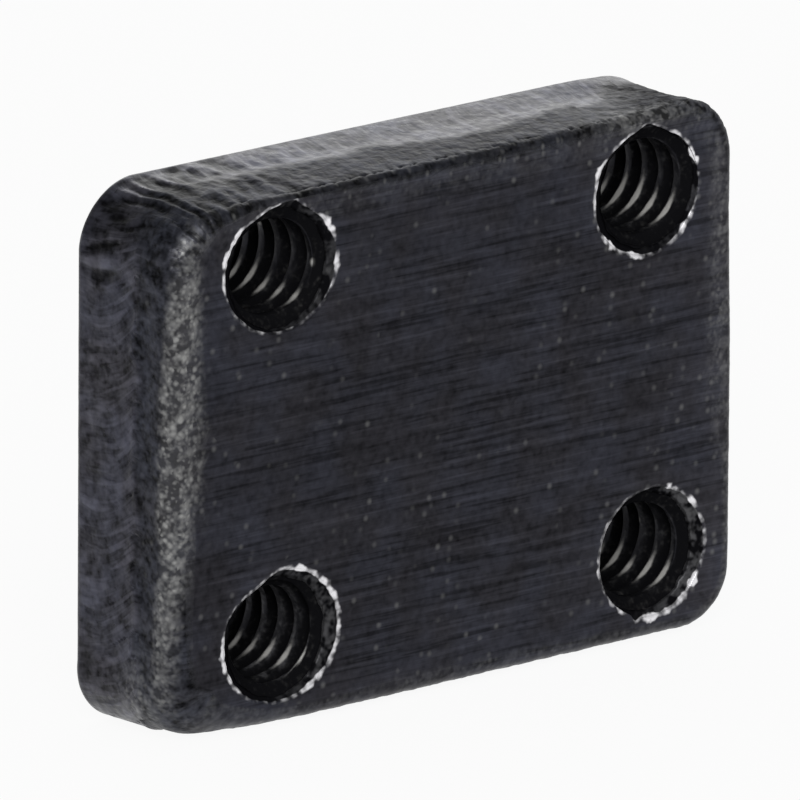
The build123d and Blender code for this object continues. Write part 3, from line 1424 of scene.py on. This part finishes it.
    def mouth_and_tunnel(self, number: int, rays: Rays, dip: Array, front: bool) -> Patch:
        """Build a hole's mouth, from the ragged oval to the throat, and half of the hidden tunnel.

        The tunnel's last row uses the rays of the front face on both halves, so that the halves meet.

        Args:
            number: the quarter, as in quarter().
            rays: from the hole to the border.
            dip: how far the rim lies below the face.
            front: the front face, or else the back one.

        Returns:
            The patch.
        """
        half = self.thickness / 2.0
        side = -1.0 if front else 1.0
        reach, x, z = rays.reach, rays.way[:, 0], rays.way[:, 1]
        fall = np.array(self.front_fall if front else self.back_fall)[:, None]
        down = fall * self.throat_depth
        ragged = grain_over(Seed.THROAT, 3, x * 5.0, z * 5.0, number + 0.5)
        throat = self.throat_radius - 0.14 * unit(0.5 + ragged) * fall**3
        radius = reach + (throat - reach) * fall**1.15
        slip = np.maximum(reach - self.throat_radius, 0.0) * fall
        # Grey painted on the right of each throat stands in for its highlight; the upper throat is greyed too.
        greyed_throat = 0.5 * unit(x + 0.3) * smooth_step(fall, 0.75, 1.0)
        greyed_throat = np.maximum(greyed_throat, 0.4 * unit(z - 0.1))
        facts = self.plain_facts(radius.shape) | {
            "rim": np.hypot(down, slip),
            "gain": rays.mouth.gain(rays.clock) + 0.0 * radius,
            "wear": 0.3 + 0.0 * radius,
            "scraped_and_lit": np.maximum(rays.mouth.scraped_and_lit * unit(x + 0.25), greyed_throat),
        }
        cone = rays.at(radius)
        cone = joined(cone[..., 0], side * (half - dip * (1.0 - fall) - down), cone[..., 1])
        meeting = self.border(number, True) - rays.axis
        meeting = meeting / np.linalg.norm(meeting, axis=-1, keepdims=True)
        tunnel = rays.axis + self.tunnel_radius * np.stack([rays.way, rays.way, meeting])
        tunnel_y = np.array([side * (half - self.throat_depth - 0.02), side * 1.2, 0.0])[:, None]
        points = np.concatenate([cone, joined(tunnel[..., 0], tunnel_y, tunnel[..., 1])])
        points[..., 2] += self.middle_height
        hidden = self.plain_facts(tunnel.shape[:-1])
        facts = {name: np.concatenate([facts[name], hidden[name]]) for name in PLATE_FACTS}
        return Patch(points, facts, flipped=not front)

    def build(self, finish: BlackOxide) -> bpy.types.Object:
        """Build the plate as one closed mesh and dress it."""
        patches = [self.wall()]
        for number in range(4):
            patches += self.quarter(number, True) + self.quarter(number, False)
        piece = welded_mesh("plate", patches, self.weld)
        piece.data.materials.append(finish.material())
        return piece


# ----- The threads -----


@dataclass(frozen=True)
class TappedThread:
    """The thread of one hole, as a thin sleeve whose outside is buried in the plate. Lengths are millimetres.

    Attributes:
        middle: the hole's axis in X and Z.
        turn: how far the helix is turned, in turns.
        seed: picks its burrs.
        thickness: the plate's.
        major_radius: radius at the roots.
        minor_radius: radius at the crests.
        pitch: along the axis, for one turn.
        crest_share: share of the pitch's half that is crest.
        root_share: share of it that is root.
        outer_radius: radius of the sleeve's outside.
        end_depth: how deep the sleeve's ends lie below the faces.
        throat_radius: the plate's.
        throat_depth: the plate's.
        grime_and_light: how grey its right side is, partly grime and partly painted light.
        mouth_slope: how much the mouth's cone narrows for each millimetre of depth.
        lopsided: how much more it does on the right, as a share, and less on the left.
        highlight_clock: middle of the crescents of painted highlight, in degrees from the right,
            anticlockwise.
        highlight_spread: their half-width in degrees.
        columns: points round a ring.
        rows: rings from end to end.
        weld: side of the cubes in which points become one.
    """

    middle: Point
    turn: float
    seed: int
    thickness: float
    major_radius: float = 3.175
    minor_radius: float = 2.55
    pitch: float = 1.27
    crest_share: float = 0.4
    root_share: float = 0.04
    outer_radius: float = 3.42
    end_depth: float = 0.3
    throat_radius: float = THROAT_RADIUS
    throat_depth: float = THROAT_DEPTH
    grime_and_light: float = 0.7
    mouth_slope: float = 1.65
    lopsided: float = 0.4
    highlight_clock: float = -43.0
    highlight_spread: float = 19.0
    columns: int = 200
    rows: int = 118
    weld: float = 1e-4

    def turns(self, clock: Array, y: Array) -> Array:
        """Return how many turns of the helix lie below each point."""
        return y / self.pitch + clock / (2.0 * math.pi) + self.turn

    def surface(self, clock: Array, y: Array) -> tuple[Array, Array, Array, Array]:
        """Work out the thread: a trapezium wave along the axis that turns with the angle, cut by two cones.

        Args:
            clock: angle round the axis.
            y: place along it.

        Returns:
            The radius, the fact crest, how close each point is to the crest's middle line, and the grey of
            the right flanks, partly grime and partly painted light. They run from 0 to 1, but that grey
            can reach its field's value.
        """
        apart = np.abs(np.mod(self.turns(clock, y), 1.0) - 0.5) * 2.0
        flank = 1.0 - self.crest_share - self.root_share
        rise = smooth_step(apart, self.root_share, self.root_share + flank)
        crown = smooth_step(apart, 1.0 - 1.5 * self.crest_share, 1.0)
        x, z = np.cos(clock), np.sin(clock)
        burr = grain_over(self.seed, 3, x * 4.0, z * 4.0, y / 0.5)
        wave = grain_over(self.seed + 7, 1, x * 2.0, z * 2.0, y / 1.3)
        radius = self.major_radius - (self.major_radius - self.minor_radius) * rise
        radius = radius + rise * (0.02 * burr + 0.025 * wave) - 0.03 * crown
        into = self.thickness / 2.0 - np.abs(y)
        steepness = self.mouth_slope * (1.0 + self.lopsided * x)
        limit = self.throat_radius + 0.02 - steepness * (into - self.throat_depth)
        open_thread = smooth_step(radius - limit, -0.1, 0.05)
        lit = 0.06 + 0.94 * smooth_step(z, -0.92, -0.45)
        crest = smooth_step(apart, 0.48, 0.8) * lit * open_thread
        # Grey on the right flanks, which face the key light: partly grime and partly painted light.
        grimy_and_lit = smooth_step(x, -0.35, 0.6) * smooth_step(apart, 0.25, 0.75) * open_thread
        grimy_and_lit = self.grime_and_light * grimy_and_lit * unit(0.55 + 0.7 * burr)
        return np.maximum(radius, limit + 0.03 * burr), crest, crown * open_thread, grimy_and_lit

    def crest_highlight(self, clock: Array, y: Array, crown: Array) -> Array:
        """Return the painted highlight on each crest: a bright crescent on the lower right of every turn.

        A bell round the clock, less a share of the distance from the crest's middle line, so that the ends
        taper. Its middle and length wander from turn to turn.

        Args:
            clock: angle round the axis.
            y: place along it.
            crown: 1 on the middle line of the crest, 0 off it.

        Returns:
            Numbers up to about 1, nothing away from the crescents.
        """
        own = corner_number(np.floor(self.turns(clock, y) + 0.5).astype(np.int64)[..., None], self.seed + 3)
        apart = turned_from(clock, math.radians(self.highlight_clock) + 0.10 * own)
        length = math.radians(self.highlight_spread) * (1.0 + 0.25 * own)
        strip = smooth_step(crown - 0.28 * np.abs(apart) / length, 0.15, 0.9)
        # Painted highlight: the crescent stands in for the lamp's highlight on the crest.
        worn = bell(apart, 0.0, length) * (0.95 + 0.3 * own) * strip
        return worn * smooth_step(np.abs(y), self.thickness / 2.0 - 0.33, self.thickness / 2.0 - 0.55)

    def build(self, name: str, finish: bpy.types.Material) -> bpy.types.Object:
        """Build the sleeve: the thread inside, a plain cylinder outside, and flat ends between them.

        Args:
            name: the piece's name.
            finish: its material.

        Returns:
            The piece.
        """
        half = self.thickness / 2.0 - self.end_depth
        clock = np.linspace(0.0, 2.0 * math.pi, self.columns + 1)[:-1]
        clock, y = np.broadcast_arrays(clock, np.linspace(-half, half, self.rows)[:, None])
        radius, crest, crown, grimy_and_lit = self.surface(clock, y)
        outer_y = np.array([half, half / 3.0, -half / 3.0, -half])[:, None]
        inner = self.ring(clock, y, radius)
        points = np.concatenate([inner, self.ring(clock[:4], outer_y, self.outer_radius), inner[:1]])
        # The facts hold the crests, the highlights painted on them, and the right flanks' grey, partly grime
        # and partly painted light.
        facts = {"crest": (crest, 0.0), "crest_highlight": (self.crest_highlight(clock, y, crown), -1.0), "grimy_and_lit": (grimy_and_lit, 0.0)}
        facts = {
            name: np.concatenate([inside, np.full((4, self.columns), outside), inside[:1]])
            for name, (inside, outside) in facts.items()
        }
        piece = welded_mesh(name, [Patch(points, facts)], self.weld)
        piece.data.materials.append(finish)
        return piece

    def ring(self, clock: Array, y: Array, radius: float | Array) -> Array:
        """Return points at those angles, places and radii about the hole's axis."""
        return joined(self.middle[0] + radius * np.cos(clock), y, self.middle[1] + radius * np.sin(clock))


# ----- The block -----


class Corner(Enum):
    """Which hole, as seen from the front, by its sides of the plate and its number anticlockwise."""

    UPPER_RIGHT = (1, 1, 0)
    UPPER_LEFT = (-1, 1, 1)
    LOWER_LEFT = (-1, -1, 2)
    LOWER_RIGHT = (1, -1, 3)


@dataclass(frozen=True)
class MountingBlock:
    """The whole block. Lengths are millimetres.

    Attributes:
        width: along X.
        height: along Z.
        thickness: along Y.
        corner_radius: radius of the outline's corners.
        hole_spacing: from hole to hole along X and Z.
        pattern_shift: the holes' middle from the plate's, along X and Z.
        back_rim_radius: radius of the back mouths, before they are widened.
        turns: how far each hole's helix is turned, in the corners' order.
        grimes_and_light: how grey each hole's right side is, partly grime and partly painted light.
        thread_seeds: what picks each thread's burrs.
    """

    width: float = 38.1
    height: float = 28.5
    thickness: float = 7.5
    corner_radius: float = 3.4
    hole_spacing: Point = (24.6, 19.4)
    pattern_shift: Point = (0.55, 0.4)
    back_rim_radius: float = 3.475
    turns: tuple[float, ...] = (0.30, 0.36, 0.69, 0.39)
    grimes_and_light: tuple[float, ...] = (1.0, 0.8, 1.5, 1.0)
    thread_seeds: tuple[int, ...] = (100, 110, 120, 130)

    def hole_middle(self, corner: Corner) -> Point:
        """Return a hole's axis from the plate's middle."""
        side, level, _ = corner.value
        return (
            self.pattern_shift[0] + side * self.hole_spacing[0] / 2.0,
            self.pattern_shift[1] + level * self.hole_spacing[1] / 2.0,
        )

    def front_mouths(self) -> tuple[HoleMouth, ...]:
        """Return the four mouths on the front face, in the corners' order."""
        return (
            HoleMouth(3.48, 3.35, (-0.18, -0.10), (
                Glint(176, 14, 0.8), Glint(155, 10, 1.0), Glint(128, 18, 0.5), Glint(52, 12, 0.7),
                Glint(26, 9, 1.1), Glint(-42, 16, 0.7), Glint(223, 10, 1.0), Glint(255, 12, 0.8),
            ), 3, 0.4, nicks=(Nick(91, 8, 0.2), Nick(124, 18, -0.12), Nick(60, 12, -0.08))),
            HoleMouth(3.72, 3.33, (0.07, 0.10), (
                Glint(145, 14, 1.1), Glint(163, 8, 1.0), Glint(183, 7, 0.6), Glint(108, 14, 0.5),
                Glint(29, 9, 1.1), Glint(-6, 9, 0.7), Glint(225, 30, 0.2),
            ), 5, 0.5, nicks=(Nick(78, 7, 0.35), Nick(118, 20, -0.2), Nick(52, 12, -0.12))),
            HoleMouth(3.83, 3.49, (0.18, 0.09), (
                Glint(184, 16, 1.1), Glint(213, 18, 0.6), Glint(115, 26, 0.6), Glint(70, 10, 0.9),
                Glint(38, 16, 1.0), Glint(2, 16, 0.7), Glint(-45, 26, 0.8),
            ), 7, 0.85, nicks=(Nick(118, 24, -0.42),)),
            HoleMouth(3.52, 3.45, (0.43, -0.05), (
                Glint(143, 26, 0.5), Glint(185, 20, 0.7), Glint(232, 9, 1.1), Glint(62, 6, 1.1),
                Glint(35, 7, 0.8), Glint(-84, 8, 1.6), Glint(-66, 5, 0.7), Glint(-48, 12, 0.8),
                Glint(-32, 7, 1.3), Glint(0, 25, 0.25),
            ), 9, 1.0, nicks=(Nick(-100, 4, 0.25),)),
        )

    def back_mouths(self) -> tuple[HoleMouth, ...]:
        """Return the four mouths on the back face, which are plainer."""
        wide, high = self.back_rim_radius + 0.12, self.back_rim_radius + 0.08
        return tuple(
            HoleMouth(wide, high, (0.0, 0.0), (Glint(40 + 90 * number, 50, 0.5),), 13 + number, 0.3, 0.04)
            for number in range(4)
        )

    def build(self) -> list[bpy.types.Object]:
        """Build and dress every piece, and set it in the frame.

        Returns:
            The pieces.
        """
        plate = Plate(
            outline=Outline(self.width, self.height, self.corner_radius),
            thickness=self.thickness,
            middle_height=self.height / 2.0,
            hole_middles=tuple(self.hole_middle(corner) for corner in Corner),
            split=self.pattern_shift,
            mouths=self.front_mouths(),
            back_mouths=self.back_mouths(),
        ).build(BlackOxide())
        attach(plate, BODY)
        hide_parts(CAD_NODE)
        pieces = [plate]

        tapped = TappedSteel().material()
        for corner in Corner:
            across, up = self.hole_middle(corner)
            number = corner.value[2]
            middle = (across, up + self.height / 2.0)
            turn, seed, grime_and_light = self.turns[number], self.thread_seeds[number], self.grimes_and_light[number]
            thread = TappedThread(middle, turn, seed, self.thickness, grime_and_light=grime_and_light)
            piece = thread.build("thread_" + corner.name.lower(), tapped)
            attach(piece, BODY)
            pieces.append(piece)
        return pieces


# ----- The studio -----


@dataclass(frozen=True)
class Softbox:
    """A square lamp that faces the block.

    Attributes:
        name: its name.
        place: where it stands, in metres.
        size: its side, in metres.
        power: in watts.
    """

    name: str
    place: tuple[float, float, float]
    size: float
    power: float

    def build(self, target: Vector) -> None:
        """Make the lamp and turn it to the target."""
        data = bpy.data.lights.new(self.name, "AREA")
        data.shape = "SQUARE"
        data.size = self.size
        data.energy = self.power
        lamp = placed(self.name, data)
        lamp.location = self.place
        lamp.rotation_euler = (target - Vector(self.place)).to_track_quat("-Z", "Y").to_euler()


@dataclass(frozen=True)
class Studio:
    """The floor, the light and the camera.

    Attributes:
        azimuth: how far the camera stands round from the front, in degrees.
        elevation: how far it looks down, in degrees.
        roll: how far it is rolled, in degrees.
        distance: from the target, in metres.
        focal_length: in millimetres.
        shift: the lens's shift across and up.
        target: the point it looks at, in metres.
        floor_size: side of the floor, in metres.
        sky: strength of the even light from all round.
        softboxes: the lamps.
    """

    azimuth: float = 40.2
    elevation: float = 15.95
    roll: float = 0.42
    distance: float = 1.125
    focal_length: float = 990.7
    shift: Point = (-0.01175, 0.0075)
    target: tuple[float, float, float] = (0.0, 0.0, 0.01425)
    floor_size: float = 12.0
    sky: float = 0.42
    softboxes: tuple[Softbox, ...] = field(default_factory=lambda: (
        Softbox("back_panel", (0.75, 0.85, 0.42), 0.8, 2.5),
        Softbox("key", (-0.60, -0.72, 0.62), 0.5, 6.0),
    ))

    def build(self) -> None:
        """Make the floor, the lamps, the world and the camera."""
        self.floor()
        target = Vector(self.target)
        for softbox in self.softboxes:
            softbox.build(target)
        world = bpy.data.worlds.new("soft_white")
        bpy.context.scene.world = world
        world.use_nodes = True
        recipe = Recipe(world.node_tree)
        glow = recipe.node("ShaderNodeBackground", {}, {"Color": WHITE, "Strength": self.sky})
        recipe.node("ShaderNodeOutputWorld", {}, {"Surface": glow.outputs[0]})
        bpy.context.scene.view_settings.view_transform = "Standard"
        self.camera()

    def floor(self) -> None:
        """Lay the floor just under the block."""
        half = self.floor_size / 2.0
        corners = [(-half, -half, 0.0), (half, -half, 0.0), (half, half, 0.0), (-half, half, 0.0)]
        mesh = bpy.data.meshes.new("floor")
        mesh.from_pydata(corners, [], [(0, 1, 2, 3)])
        mesh.materials.append(PaleFloor().material())
        placed("floor", mesh)

    def camera(self) -> None:
        """Set the camera on its ray through the block's middle, looking down and a little rolled."""
        turn, down, roll = (math.radians(angle) for angle in (self.azimuth, self.elevation, self.roll))
        ahead = Vector((math.sin(turn) * math.cos(down), math.cos(turn) * math.cos(down), -math.sin(down)))
        level = Vector((math.cos(turn), -math.sin(turn), 0.0))
        upright = level.cross(ahead)
        right = level * math.cos(roll) + upright * math.sin(roll)
        up = upright * math.cos(roll) - level * math.sin(roll)
        data = bpy.data.cameras.new("camera")
        data.lens = self.focal_length
        data.shift_x, data.shift_y = self.shift
        data.clip_end = 100.0
        camera = placed("camera", data)
        place = Vector(self.target) - ahead * self.distance
        facing = Matrix((right, up, -ahead)).transposed().to_4x4()
        camera.matrix_world = Matrix.Translation(place) @ facing
        bpy.context.scene.camera = camera


def main() -> None:
    """Build the studio and the block, and report each piece."""
    logging.basicConfig(level=logging.INFO, format="%(name)s: %(message)s")
    Studio().build()
    for piece in MountingBlock().build():
        log.info("%s: %d faces", piece.name, len(piece.data.polygons))
    bpy.context.view_layer.update()


if __name__ == "__main__":
    main()
